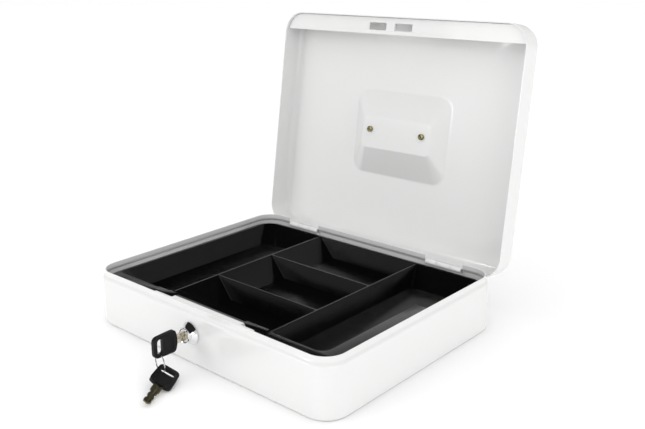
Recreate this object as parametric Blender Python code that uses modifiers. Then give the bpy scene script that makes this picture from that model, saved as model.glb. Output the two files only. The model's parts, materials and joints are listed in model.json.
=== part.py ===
"""Portable steel cash box: hinged lid, lift-out coin tray, cam lock with a hook, and two keys.

Metres, +Z up. X runs along the width, the front wall faces -Y, and the hinges are at the back.
The origin is at the centre of the underside. The lid is modelled closed and stands open at rest.
"""

import math

import bmesh
import bpy
from mathutils import Matrix, Vector

# General
GAP = 0.0003
SHEET = 0.0010
CORNER_STEPS = 6

# Body
BOX_WIDTH = 0.300
BOX_DEPTH = 0.240
BOX_CORNER = 0.0223
FLOOR_FOLD = 0.0020
SHOULDER_HEIGHT = 0.0454
JOGGLE = 0.0025
LIP_HEIGHT = 0.0071

# Lid, in its closed position
LID_RIM_ABOVE_SHOULDER = 0.0040
LID_HEIGHT = 0.0270
LID_FOLD = 0.0080
LID_OPEN = math.radians(98.64)
RECESS_CENTRE = (0.0036, 0.0010)
RECESS_MOUTH = (0.0585, 0.0442)
RECESS_FLOOR = (0.0412, 0.0150)
RECESS_DEPTH = 0.0090
RECESS_MOUTH_CORNER = 0.0130
RECESS_FLOOR_CORNER = 0.0040

# Hinges
HINGE_INSET = 0.00305
HINGE_ABOVE_SHOULDER = 0.0002
HINGE_SPREAD = 0.0925
LEAF_WIDTH = 0.0410
LEAF_THICKNESS = 0.0010
BODY_LEAF_DROP = 0.0196
LID_LEAF_RISE = 0.0164
KNUCKLE_RADIUS = 0.0026
KNUCKLE_MIDDLE = 0.0150
KNUCKLE_TRIM = 0.0001
WINDOW_GAP = 0.0012
PIN_RADIUS = 0.0012
PIN_HEAD_RADIUS = 0.0019
PIN_HEAD = 0.0004
NOTCH_CLEARANCE = 0.0010

# Strike flange on the lid
FLANGE_REACH = 0.0182
FLANGE_LEG = 0.0080
FLANGE_STRAIGHT = 0.2500
SLOT_OFFSETS = (-0.01615, 0.01620)
SLOT_SIZE = (0.0220, 0.0076)

# Lock
LOCK_X = -0.0065
LOCK_Z = 0.0290
BARREL_RADIUS = 0.0080
BARREL_LENGTH = 0.0095
BELL_RADIUS = 0.01025
BELL_FRONT_RADIUS = 0.0074
BELL_HEIGHT = 0.0085
PLUG_RADIUS = 0.0056
PLUG_SETBACK = 0.0009
NUT_RADIUS = 0.0122
NUT_THICKNESS = 0.0028
DRIVE_SIZE = 0.0056
HOOK_OUTER = 0.0317
HOOK_INNER = 0.0277
HOOK_START = math.radians(50)
HOOK_END = math.radians(135)
HOOK_ARM = 0.0060
HOOK_HUB = 0.0070
HOOK_THICKNESS = 0.0020
HOOK_BEHIND_FRONT = 0.0118
HOOK_BEHIND_SLOT = 0.0015
KEYWAY = (0.0024, 0.0074)
KEYWAY_DEPTH = 0.0082
WAFER_COUNT = 4
WAFER_PITCH = 0.0030
WAFER_THICKNESS = 0.0008
WAFER_WIDTH = 0.0060
FIRST_WAFER = 0.0042
WASHER_RADIUS = 0.0048
WASHER_THICKNESS = 0.0005
CAM_SCREW_HEAD = 0.0012
CAM_SCREW_LENGTH = 0.0032

# Lock cover
COVER_LEFT_REACH = 0.0322
COVER_RIGHT_REACH = 0.0562
COVER_TAB_LEFT_REACH = 0.0542
COVER_SHELF_SETBACK = 0.0105
COVER_TAB_SETBACK = 0.0065
COVER_REAR_SETBACK = 0.0166
COVER_BELOW_LIP = 0.0010
COVER_BELOW_TRAY = 0.0025
COVER_BOTTOM = 0.0040
COVER_TAB_LEG = 0.0075

# Coin tray
TRAY_BELOW_SHOULDER = 0.0029
TRAY_DEPTH = 0.0200
TRAY_WALL = 0.0015
STEEP_DRAFT = 0.0012
INNER_DRAFT = 0.0030
OUTER_DRAFT = 0.0062
LONG_POCKET_END_DRAFT = 0.0130
SCOOP_DRAFT = 0.0185
TRAY_SIDE_PLAY = 0.0005
TRAY_FRONT_PLAY = 0.0010
FLANGE_SIDE = 0.0035
FLANGE_RIGHT = 0.0060
FLANGE_RIGHT_FRONT = 0.0236
FLANGE_FRONT = 0.0215
FLANGE_BACK = 0.0025
POCKET_CORNER = 0.0100
POCKET_CORNER_GROWTH = 0.0050
POCKET_STEPS = 5
WIDE_FLANGE_END = 0.0290
COLUMN_SHARE = 0.4404
ROW_SHARES = (0.27737, 0.63260)
DIVIDER_TOP = 0.0018
DIVIDER_EDGE = 0.0020
NOTCH_REACH = (0.0765, 0.0730)
NOTCH_DEPTH = 0.0195
TAB_HEIGHT = 0.0018
TAB_DEPTH = 0.0110
TAB_OVERHANG = 0.0006
TAB_OFFSETS = ((-0.0745, -0.0495), (0.0435, 0.0695))
LEDGE_WIDTH = 0.0044
LEDGE_DROP = 0.0100
LEDGE_SHARE = 0.625

# Carry handle
HANDLE_SPACING = 0.0660
HANDLE_Y = -0.0020
HANDLE_LIFT = 0.0046
HANDLE_REACH = 0.0215
HANDLE_RADIUS = 0.0022
HANDLE_BEND = 0.0060
POST_LENGTH = 0.0056
POST_WIDTH = 0.0088
POST_HEIGHT = 0.0085
SCREW_RADIUS = 0.0016
SCREW_HEAD_RADIUS = 0.0031
SCREW_HEAD_HEIGHT = 0.0018
SCREW_GRIP = 0.0020

# Keys: measured along the blade from the middle of the slot in the head
KEY_FAR = 0.0065
KEY_FRONT = 0.0182
KEY_HALF_WIDTH = 0.0100
KEY_THICKNESS = 0.0032
KEY_CORNER = 0.0045
KEY_SLOT = (0.0056, 0.0135)
KEY_SHOULDER = 0.0263
KEY_TIP = 0.0420
KEY_BLADE_HALF = 0.0041
KEY_BIT_HALF = 0.0033
KEY_BLADE_THICKNESS = 0.0018
KEY_TANG = 0.0080
KEY_BEVEL = 0.0014
RING_RADIUS = 0.0089
RING_WIRE = 0.00055
RING_TURN = math.radians(-13)
RING_SEAT = 0.00035
SPARE_OFFSET = (0.00888, 0.00038)
SPARE_HEIGHT = 0.00720
SPARE_HEADING = math.radians(-62.3)
SPARE_DIP = math.radians(4.5)
SPARE_ROLL = math.radians(-27.4)
SPARE_CONTACT = (0.0070, -0.00165, 0.00905)

# Body and lid values that follow from the ones above
FRONT_Y = -BOX_DEPTH / 2
BODY_HEIGHT = SHOULDER_HEIGHT + LIP_HEIGHT
LID_RIM = SHOULDER_HEIGHT + LID_RIM_ABOVE_SHOULDER
LID_TOP = LID_RIM + LID_HEIGHT
FLOOR_OF_RECESS = LID_TOP - RECESS_DEPTH
LIP_INNER_Y = FRONT_Y + JOGGLE + SHEET
WALL_INNER_X = BOX_WIDTH / 2 - SHEET
HINGE_Y = BOX_DEPTH / 2 - HINGE_INSET
HINGE_Z = SHOULDER_HEIGHT + HINGE_ABOVE_SHOULDER
HINGE_NOTCH_FLOOR = SHOULDER_HEIGHT - 0.00233
LEAF_OUTER_Y = BOX_DEPTH / 2 - SHEET - GAP
FLANGE_Z = BODY_HEIGHT + GAP

# Lock values that follow
HOOK_Y = FRONT_Y + HOOK_BEHIND_FRONT
SLOT_Y = HOOK_Y - HOOK_BEHIND_SLOT
PLUG_FACE_Y = FRONT_Y - BELL_HEIGHT + PLUG_SETBACK
PLUG_BACK_Y = HOOK_Y - HOOK_THICKNESS / 2 - GAP
KEY_SLOT_Y = PLUG_FACE_Y - KEY_SHOULDER - GAP
KEY_SLOT_BOTTOM = LOCK_Z - KEY_SLOT[1] / 2
RING_TOP_Z = KEY_SLOT_BOTTOM + RING_WIRE + RING_SEAT

# Tray values that follow
TRAY_TOP = SHOULDER_HEIGHT - TRAY_BELOW_SHOULDER
TRAY_FLOOR = TRAY_TOP - TRAY_DEPTH
TRAY_HALF_WIDTH = BOX_WIDTH / 2 - JOGGLE - SHEET - TRAY_SIDE_PLAY
TRAY_FRONT = FRONT_Y + JOGGLE + SHEET + TRAY_FRONT_PLAY
TRAY_BACK = HINGE_Y - KNUCKLE_RADIUS - GAP - 0.00005
TRAY_CORNER = BOX_CORNER - 0.0028
POCKET_LEFT = -TRAY_HALF_WIDTH + FLANGE_SIDE
POCKET_RIGHT_FRONT = TRAY_HALF_WIDTH - FLANGE_RIGHT_FRONT
POCKET_RIGHT_BACK = TRAY_HALF_WIDTH - FLANGE_RIGHT
POCKET_FRONT = TRAY_FRONT + FLANGE_FRONT
POCKET_BACK = TRAY_BACK - FLANGE_BACK
DIVIDER_X = COLUMN_SHARE * TRAY_HALF_WIDTH
DIVIDER_Y = tuple(POCKET_FRONT + share * (POCKET_BACK - POCKET_FRONT) for share in ROW_SHARES)
NOTCH_Y = FRONT_Y + NOTCH_DEPTH
NOTCH_LEFT = LOCK_X - NOTCH_REACH[0]
NOTCH_RIGHT = LOCK_X + NOTCH_REACH[1]

# Cover values that follow
COVER_LEFT = LOCK_X - COVER_LEFT_REACH
COVER_RIGHT = LOCK_X + COVER_RIGHT_REACH
COVER_TAB_LEFT = LOCK_X - COVER_TAB_LEFT_REACH
COVER_TAB_RIGHT = NOTCH_RIGHT - 2 * GAP
COVER_SHELF_Y = FRONT_Y + COVER_SHELF_SETBACK
COVER_TAB_Y = FRONT_Y + COVER_TAB_SETBACK
COVER_REAR_Y = FRONT_Y + COVER_REAR_SETBACK
COVER_TOP = BODY_HEIGHT - COVER_BELOW_LIP
COVER_REAR_TOP = TRAY_TOP - COVER_BELOW_TRAY

UPRIGHT = (math.pi / 2, 0, 0)
ALONG_X = (0, math.pi / 2, 0)


def clear_scene():
    """Remove whatever the scene starts with."""
    for thing in list(bpy.data.objects):
        bpy.data.objects.remove(thing, do_unlink=True)


def make_collection(name, helper=False):
    """Add a collection; a helper collection stays out of renders."""
    group = bpy.data.collections.new(name)
    group.hide_render = helper
    bpy.context.scene.collection.children.link(group)
    return group


def make_material(name, colour, roughness, metallic):
    """Add a plain Principled material."""
    material = bpy.data.materials.new(name)
    material.use_nodes = True
    shader = material.node_tree.nodes["Principled BSDF"]
    shader.inputs["Base Color"].default_value = (*colour, 1)
    shader.inputs["Roughness"].default_value = roughness
    shader.inputs["Metallic"].default_value = metallic
    return material


clear_scene()
PARTS = make_collection("cash_box")
CUTTERS = make_collection("cutters", helper=True)


def painted(obj, name, colour, roughness, metallic):
    """Give the object its own material."""
    obj.data.materials.clear()
    obj.data.materials.append(make_material(name, colour, roughness, metallic))
    return obj


def white_paint(obj):
    return painted(obj, obj.name + "_paint", (0.84, 0.84, 0.83), 0.32, 0.0)


def black_plastic(obj, shade=0.012):
    return painted(obj, obj.name + "_plastic", (shade, shade, shade), 0.38, 0.0)


def bare_metal(obj, colour=(0.62, 0.62, 0.63), roughness=0.28):
    return painted(obj, obj.name + "_metal", colour, roughness, 1.0)


def add_mesh(name, mesh, helper=False):
    """Put a mesh into the scene, as a part or as a helper."""
    obj = bpy.data.objects.new(name, mesh)
    (CUTTERS if helper else PARTS).objects.link(obj)
    if helper:
        obj.hide_render = True
        obj.display_type = "WIRE"
    return obj


def from_bmesh(name, shape, helper=False):
    """Turn a bmesh into an object with outward faces."""
    mesh = bpy.data.meshes.new(name)
    shape.to_mesh(mesh)
    shape.free()
    return add_mesh(name, mesh, helper)


def box(name, low, high, helper=False):
    """Rectangular block between two corners."""
    shape = bmesh.new()
    middle = [(a + b) / 2 for a, b in zip(low, high)]
    size = [b - a for a, b in zip(low, high)]
    matrix = Matrix.Translation(middle) @ Matrix.Diagonal((*size, 1))
    bmesh.ops.create_cube(shape, size=1, matrix=matrix)
    return from_bmesh(name, shape, helper)


def rod(name, radius, start, end, along, sides=32, helper=False):
    """Round bar between two points; along is the rotation that turns +Z to its length."""
    shape = bmesh.new()
    start = Vector(start)
    end = Vector(end)
    turn = Matrix.Rotation(along[0], 4, "X") @ Matrix.Rotation(along[1], 4, "Y")
    matrix = Matrix.Translation((start + end) / 2) @ turn
    bmesh.ops.create_cone(
        shape,
        cap_ends=True,
        segments=sides,
        radius1=radius,
        radius2=radius,
        depth=(end - start).length,
        matrix=matrix,
    )
    return from_bmesh(name, shape, helper)


def arc_points(centre, radius, first, last, steps):
    """Points along an arc, counter-clockwise when last is larger."""
    points = []
    for step in range(steps + 1):
        angle = first + (last - first) * step / steps
        points.append((centre[0] + radius * math.cos(angle), centre[1] + radius * math.sin(angle)))
    return points


def rounded(half_x, half_y, radii, centre=(0, 0), steps=CORNER_STEPS):
    """Rectangle with a rounded corner in each quadrant, counter-clockwise from +X."""
    if not isinstance(radii, tuple):
        radii = (radii,) * 4
    points = []
    for quarter, (side_x, side_y) in enumerate(((1, 1), (-1, 1), (-1, -1), (1, -1))):
        radius = radii[quarter]
        middle = (
            centre[0] + side_x * (half_x - radius),
            centre[1] + side_y * (half_y - radius),
        )
        first = quarter * math.pi / 2
        points += arc_points(middle, radius, first, first + math.pi / 2, steps)
    return points


def plate(name, outlines, thickness, helper=False):
    """Flat plate in XY from z=0 up: the first outline is the edge, the others are holes."""
    curve = bpy.data.curves.new(name, "CURVE")
    curve.dimensions = "2D"
    curve.fill_mode = "BOTH"
    curve.extrude = thickness / 2
    for outline in outlines:
        spline = curve.splines.new("POLY")
        spline.points.add(len(outline) - 1)
        for point, (x, y) in zip(spline.points, outline):
            point.co = (x, y, 0, 1)
        spline.use_cyclic_u = True
    source = bpy.data.objects.new(name + "_outline", curve)
    bpy.context.scene.collection.objects.link(source)
    bpy.context.view_layer.update()
    graph = bpy.context.evaluated_depsgraph_get()
    mesh = bpy.data.meshes.new_from_object(source.evaluated_get(graph))
    bpy.data.objects.remove(source, do_unlink=True)
    shape = bmesh.new()
    shape.from_mesh(mesh)
    bmesh.ops.remove_doubles(shape, verts=shape.verts, dist=1e-6)
    bmesh.ops.translate(shape, verts=shape.verts, vec=(0, 0, thickness / 2))
    bmesh.ops.recalc_face_normals(shape, faces=shape.faces)
    shape.to_mesh(mesh)
    shape.free()
    mesh.name = name
    return add_mesh(name, mesh, helper)


def loft(name, rings, close_start=True, close_end=True, helper=False):
    """Skin over stacked outlines, each a list of points and a height."""
    shape = bmesh.new()
    loops = []
    for outline, height in rings:
        loops.append([shape.verts.new((x, y, height)) for x, y in outline])
    for lower, upper in zip(loops, loops[1:]):
        for this in range(len(lower)):
            after = (this + 1) % len(lower)
            shape.faces.new((lower[this], lower[after], upper[after], upper[this]))
    if close_start:
        shape.faces.new(list(reversed(loops[0])))
    if close_end:
        shape.faces.new(loops[-1])
    return from_bmesh(name, shape, helper)


def lathe(name, profile, location, steps=40, closed=False, helper=False):
    """Turned shape about a line along Y; the profile gives radius and distance out of the front."""
    mesh = bpy.data.meshes.new(name)
    points = [(radius, 0, height) for radius, height in profile]
    edges = [(index, index + 1) for index in range(len(points) - 1)]
    if closed:
        edges.append((len(points) - 1, 0))
    mesh.from_pydata(points, edges, [])
    obj = add_mesh(name, mesh, helper)
    screw = obj.modifiers.new("turn", "SCREW")
    screw.steps = steps
    screw.render_steps = steps
    screw.use_merge_vertices = True
    screw.merge_threshold = 0.00005
    screw.use_smooth_shade = True
    obj.location = location
    obj.rotation_euler = UPRIGHT
    return obj


def follow(obj, helper):
    """Let a helper shape move with the part that it shapes."""
    helper.parent = obj
    helper.matrix_parent_inverse = obj.matrix_basis.inverted()


def cut(obj, cutter):
    """Take one shape out of another."""
    follow(obj, cutter)
    boolean = obj.modifiers.new("cut_" + cutter.name, "BOOLEAN")
    boolean.operation = "DIFFERENCE"
    boolean.solver = "EXACT"
    boolean.object = cutter
    return obj


def join(obj, other):
    """Fuse a helper shape into a part."""
    follow(obj, other)
    boolean = obj.modifiers.new("join_" + other.name, "BOOLEAN")
    boolean.operation = "UNION"
    boolean.solver = "EXACT"
    boolean.object = other
    return obj


def sheet(obj):
    """Give an open skin the thickness of the steel, inward from its outer face."""
    solid = obj.modifiers.new("steel", "SOLIDIFY")
    solid.thickness = SHEET
    solid.offset = -1
    solid.use_even_offset = True
    solid.use_quality_normals = True
    return obj


def smooth(obj, angle=35):
    """Shade round faces smooth and leave real edges sharp."""
    for face in obj.data.polygons:
        face.use_smooth = True
    obj.data.set_sharp_from_angle(angle=math.radians(angle))
    return obj


def fold(inset, low, high, steps=3):
    """Inset and height along a quarter-round fold between a wall and a flat panel."""
    pairs = []
    for step in range(steps + 1):
        angle = math.pi / 2 * step / steps
        pairs.append((inset * (1 - math.cos(angle)), low + (high - low) * math.sin(angle)))
    return pairs


def pivot(name, location, turn=(0, 0, 0), parent=None):
    """Empty on a joint axis."""
    empty = bpy.data.objects.new(name, None)
    empty.empty_display_size = 0.01
    PARTS.objects.link(empty)
    empty.location = location
    empty.rotation_euler = turn
    if parent:
        carry(parent, empty)
    return empty


def carry(parent, *children):
    """Let children modelled in place follow the pivot that they turn or slide with."""
    for child in children:
        child.parent = parent
        child.matrix_parent_inverse = Matrix.Translation(-Vector(parent.location))


def make_body_shell():
    """Folded box with a joggled lip, a lock hole and a notch for each hinge."""
    rings = []
    for inset, height in reversed(fold(FLOOR_FOLD, FLOOR_FOLD, 0)):
        rings.append((inset, height))
    rings.append((0, SHOULDER_HEIGHT))
    rings.append((JOGGLE, SHOULDER_HEIGHT + JOGGLE))
    rings.append((JOGGLE, BODY_HEIGHT))
    outlines = []
    for inset, height in rings:
        outline = rounded(BOX_WIDTH / 2 - inset, BOX_DEPTH / 2 - inset, BOX_CORNER - inset)
        outlines.append((outline, height))
    body = sheet(loft("body_shell", outlines, close_end=False))
    hole = rod(
        "lock_hole",
        BARREL_RADIUS + GAP,
        (LOCK_X, FRONT_Y - 0.005, LOCK_Z),
        (LOCK_X, FRONT_Y + 0.006, LOCK_Z),
        UPRIGHT,
        helper=True,
    )
    cut(body, hole)
    reach = LEAF_WIDTH / 2 + NOTCH_CLEARANCE
    for side in (-1, 1):
        notch = box(
            "hinge_notch",
            (side * HINGE_SPREAD - reach, HINGE_Y - 0.006, HINGE_NOTCH_FLOOR),
            (side * HINGE_SPREAD + reach, HINGE_Y + 0.006, BODY_HEIGHT + 0.002),
            helper=True,
        )
        cut(body, notch)
    return white_paint(smooth(body))


def make_lid_shell():
    """Pressed lid, modelled closed, with the handle recess sunk in its panel."""
    outlines = [(rounded(BOX_WIDTH / 2, BOX_DEPTH / 2, BOX_CORNER), LID_RIM)]
    for inset, height in fold(LID_FOLD, LID_TOP - LID_FOLD, LID_TOP, steps=5):
        outline = rounded(BOX_WIDTH / 2 - inset, BOX_DEPTH / 2 - inset, BOX_CORNER - inset)
        outlines.append((outline, height))
    for (half_x, half_y), height, radius in (
        ((RECESS_MOUTH[0] + 0.002, RECESS_MOUTH[1] + 0.002), LID_TOP, RECESS_MOUTH_CORNER + 0.0010),
        (RECESS_MOUTH, LID_TOP - 0.0007, RECESS_MOUTH_CORNER),
        ((RECESS_FLOOR[0] + 0.002, RECESS_FLOOR[1] + 0.002), FLOOR_OF_RECESS + 0.0007, RECESS_FLOOR_CORNER + 0.001),
        (RECESS_FLOOR, FLOOR_OF_RECESS, RECESS_FLOOR_CORNER),
    ):
        outlines.append((rounded(half_x, half_y, radius, RECESS_CENTRE), height))
    lid = sheet(loft("lid_shell", outlines, close_start=False))
    for x in handle_stations():
        hole = rod(
            "screw_hole",
            SCREW_RADIUS + GAP,
            (x, HANDLE_Y, FLOOR_OF_RECESS - 0.005),
            (x, HANDLE_Y, FLOOR_OF_RECESS + 0.005),
            (0, 0),
            sides=20,
            helper=True,
        )
        cut(lid, hole)
    return white_paint(smooth(lid, angle=30))


def handle_stations():
    """X of the two handle posts."""
    return (RECESS_CENTRE[0] - HANDLE_SPACING / 2, RECESS_CENTRE[0] + HANDLE_SPACING / 2)


def make_strike_flange():
    """Strip along the front of the lid, folded inward, with two slots for the hook."""
    half_x = WALL_INNER_X - GAP
    edge_y = FRONT_Y + SHEET + GAP
    radius = BOX_CORNER - SHEET - GAP
    outline = arc_points((-half_x + radius, edge_y + radius), radius, math.pi * 1.06, math.pi * 1.5, 7)
    outline += arc_points((half_x - radius, edge_y + radius), radius, math.pi * 1.5, math.pi * 1.94, 7)
    inner_y = FRONT_Y + FLANGE_REACH
    outline = [point for point in outline if point[1] < inner_y - 0.001]
    outline = [(outline[0][0], inner_y)] + outline + [(outline[-1][0], inner_y)]
    slots = []
    for offset in SLOT_OFFSETS:
        middle = (LOCK_X + offset, SLOT_Y)
        slots.append(rounded(SLOT_SIZE[0] / 2, SLOT_SIZE[1] / 2, 0.001, middle, steps=2))
    flange = plate("strike_flange", [outline] + slots, SHEET)
    flange.location = (0, 0, FLANGE_Z)
    leg = box(
        "flange_leg",
        (-FLANGE_STRAIGHT / 2, edge_y, FLANGE_Z),
        (FLANGE_STRAIGHT / 2, edge_y + SHEET, FLANGE_Z + FLANGE_LEG),
        helper=True,
    )
    join(flange, leg)
    return white_paint(flange)


def knuckle(centre_x, length):
    """Hinge knuckle on the hinge axis."""
    start = (centre_x - length / 2, HINGE_Y, HINGE_Z)
    end = (centre_x + length / 2, HINGE_Y, HINGE_Z)
    return rod("knuckle", KNUCKLE_RADIUS, start, end, ALONG_X, sides=24, helper=True)


def pin_bore(centre_x):
    """Cutter for the hole along the hinge axis."""
    start = (centre_x - LEAF_WIDTH, HINGE_Y, HINGE_Z)
    end = (centre_x + LEAF_WIDTH, HINGE_Y, HINGE_Z)
    return rod("pin_bore", PIN_RADIUS + GAP, start, end, ALONG_X, sides=20, helper=True)


def hinge_leaf(name, outline, centre_x):
    """Flat leaf in the upright plane of the hinge, with X measured from its middle."""
    leaf = plate(name, [outline], LEAF_THICKNESS)
    leaf.rotation_euler = UPRIGHT
    leaf.location = (centre_x, LEAF_OUTER_Y, HINGE_Z)
    return leaf


def make_hinge_body_leaf(side, label):
    """Leaf on the inside of the back wall, with the middle knuckle."""
    x = side * HINGE_SPREAD
    half = LEAF_WIDTH / 2
    tongue = KNUCKLE_MIDDLE / 2 + KNUCKLE_TRIM
    top = -KNUCKLE_RADIUS - 0.0002
    outline = [
        (-half, -BODY_LEAF_DROP),
        (half, -BODY_LEAF_DROP),
        (half, top),
        (tongue, top),
        (tongue, 0),
        (-tongue, 0),
        (-tongue, top),
        (-half, top),
    ]
    leaf = hinge_leaf("hinge_body_leaf_" + label, outline, x)
    join(leaf, knuckle(x, KNUCKLE_MIDDLE))
    cut(leaf, pin_bore(x))
    return white_paint(leaf)


def make_hinge_lid_leaf(side, label):
    """Leaf on the inside of the lid's back wall, with the two outer knuckles."""
    x = side * HINGE_SPREAD
    half = LEAF_WIDTH / 2
    window = KNUCKLE_MIDDLE / 2 + GAP + KNUCKLE_TRIM
    window_top = KNUCKLE_RADIUS + WINDOW_GAP
    outline = [
        (-half, 0),
        (-window, 0),
        (-window, window_top),
        (window, window_top),
        (window, 0),
        (half, 0),
        (half, LID_LEAF_RISE),
        (-half, LID_LEAF_RISE),
    ]
    leaf = hinge_leaf("hinge_lid_leaf_" + label, outline, x)
    inner = window + KNUCKLE_TRIM
    outer = half - KNUCKLE_TRIM
    for way in (-1, 1):
        join(leaf, knuckle(x + way * (inner + outer) / 2, outer - inner))
    cut(leaf, pin_bore(x))
    return white_paint(leaf)


def make_hinge_pin(side, label):
    """Pin with a low head at each end."""
    x = side * HINGE_SPREAD
    half = LEAF_WIDTH / 2 + GAP
    pin = rod(
        "hinge_pin_" + label,
        PIN_RADIUS,
        (x - half - PIN_HEAD / 2, HINGE_Y, HINGE_Z),
        (x + half + PIN_HEAD / 2, HINGE_Y, HINGE_Z),
        ALONG_X,
        sides=20,
    )
    for way in (-1, 1):
        near = x + way * half
        far = x + way * (half + PIN_HEAD)
        head = rod(
            "pin_head",
            PIN_HEAD_RADIUS,
            (min(near, far), HINGE_Y, HINGE_Z),
            (max(near, far), HINGE_Y, HINGE_Z),
            ALONG_X,
            sides=20,
            helper=True,
        )
        join(pin, head)
    return bare_metal(smooth(pin))


def pocket_ring(pocket, share, grow=0.0):
    """Outline of a pocket at a share of its depth, grown outward for the outside of its walls."""
    (left, front), (right, back), radii, drafts = pocket
    left += drafts[0] * share - grow
    right -= drafts[1] * share - grow
    front += drafts[2] * share - grow
    back -= drafts[3] * share - grow
    corners = []
    for radius in radii:
        growth = POCKET_CORNER_GROWTH * share if radius == POCKET_CORNER else 0
        corners.append(radius + growth + grow)
    centre = ((left + right) / 2, (front + back) / 2)
    return rounded((right - left) / 2, (back - front) / 2, tuple(corners), centre, POCKET_STEPS)


def make_pocket(name, pocket):
    """Cutter for one compartment, drafted from above its mouth down to its floor."""
    over = 0.002
    mouth = pocket_ring(pocket, -over / TRAY_DEPTH)
    base = pocket_ring(pocket, 1)
    return loft(name, [(base, TRAY_FLOOR), (mouth, TRAY_TOP + over)], helper=True)


def make_tub(name, pocket, helper=True):
    """Outside of one compartment: its pocket grown by the wall, hanging from the flange."""
    base = pocket_ring(pocket, 1, TRAY_WALL)
    mouth = pocket_ring(pocket, 0, TRAY_WALL)
    rings = [(base, TRAY_FLOOR - TRAY_WALL), (mouth, TRAY_TOP - TRAY_WALL / 2)]
    return loft(name, rings, helper=helper)


def middle_pockets():
    """The three compartments between the long dividers, with sides that slope like scoops."""
    half = DIVIDER_TOP / 2
    edges = (POCKET_FRONT - half, *DIVIDER_Y, POCKET_BACK + half)
    right = DIVIDER_X - half
    drafts = (SCOOP_DRAFT, SCOOP_DRAFT, STEEP_DRAFT, STEEP_DRAFT)
    pockets = []
    for front, back in zip(edges, edges[1:]):
        low = (-right, front + half)
        high = (right, back - half)
        pockets.append((low, high, (DIVIDER_EDGE,) * 4, drafts))
    return pockets


def side_pockets():
    """The long compartment at each side, and the bay that widens the right one at the back."""
    inner = DIVIDER_X + DIVIDER_TOP / 2
    end = LONG_POCKET_END_DRAFT
    left_corners = (DIVIDER_EDGE, POCKET_CORNER, POCKET_CORNER, DIVIDER_EDGE)
    right_corners = (POCKET_CORNER, DIVIDER_EDGE, DIVIDER_EDGE, POCKET_CORNER)
    bay_corners = (POCKET_CORNER, DIVIDER_EDGE, DIVIDER_EDGE, DIVIDER_EDGE)
    left = ((POCKET_LEFT, POCKET_FRONT), (-inner, POCKET_BACK), left_corners)
    right = ((inner, POCKET_FRONT), (POCKET_RIGHT_FRONT, POCKET_BACK), right_corners)
    bay = ((inner, WIDE_FLANGE_END), (POCKET_RIGHT_BACK, POCKET_BACK), bay_corners)
    return [
        (*left, (OUTER_DRAFT, INNER_DRAFT, end, end)),
        (*right, (INNER_DRAFT, OUTER_DRAFT, end, end)),
        (*bay, (INNER_DRAFT, OUTER_DRAFT, STEEP_DRAFT, end)),
    ]


def tray_flange():
    """Rim plate of the tray, notched at the front round the lock cover."""
    middle_y = (TRAY_FRONT + TRAY_BACK) / 2
    edge = rounded(TRAY_HALF_WIDTH, (TRAY_BACK - TRAY_FRONT) / 2, TRAY_CORNER, (0, middle_y))
    notch = [
        (NOTCH_LEFT, TRAY_FRONT),
        (NOTCH_LEFT, NOTCH_Y),
        (NOTCH_RIGHT, NOTCH_Y),
        (NOTCH_RIGHT, TRAY_FRONT),
    ]
    front_right = 3 * (CORNER_STEPS + 1)
    outline = edge[:front_right] + notch + edge[front_right:]
    flange = plate("tray_flange", [outline], TRAY_WALL, helper=True)
    flange.location = (0, 0, TRAY_TOP - TRAY_WALL)
    return flange


def finger_tabs():
    """Two lifting tabs at the front of the tray, on each side of the lock cover."""
    tabs = []
    for number, (left, right) in enumerate(TAB_OFFSETS):
        tab = box(
            "finger_tab_%d" % number,
            (LOCK_X + left, NOTCH_Y - TAB_OVERHANG, TRAY_TOP - TRAY_WALL / 2),
            (LOCK_X + right, NOTCH_Y + TAB_DEPTH - TAB_OVERHANG, TRAY_TOP + TAB_HEIGHT),
            helper=True,
        )
        tabs.append(tab)
    return tabs


def make_coin_tray():
    """Moulded tray: five drafted compartments under a flange that rests on the ledges."""
    pockets = side_pockets() + middle_pockets()
    tray = make_tub("coin_tray", pockets[0], helper=False)
    join(tray, tray_flange())
    for number, pocket in enumerate(pockets[1:]):
        join(tray, make_tub("tub_%d" % (number + 1), pocket))
    for tab in finger_tabs():
        join(tray, tab)
    for number, pocket in enumerate(pockets):
        cut(tray, make_pocket("pocket_%d" % number, pocket))
    return black_plastic(tray)


def make_tray_ledge(side, label):
    """Angle on the side wall that the tray flange rests on."""
    wall = WALL_INNER_X - GAP
    top = TRAY_TOP - TRAY_WALL - GAP
    outline = [
        (wall, top - LEDGE_DROP),
        (wall, top),
        (wall - LEDGE_WIDTH, top),
        (wall - LEDGE_WIDTH, top - SHEET),
        (wall - SHEET, top - SHEET),
        (wall - SHEET, top - LEDGE_DROP),
    ]
    if side < 0:
        outline = [(-x, z) for x, z in reversed(outline)]
    length = LEDGE_SHARE * BOX_DEPTH
    ledge = plate("tray_ledge_" + label, [outline], length)
    ledge.rotation_euler = UPRIGHT
    ledge.location = (0, length / 2, 0)
    return white_paint(ledge)


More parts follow.
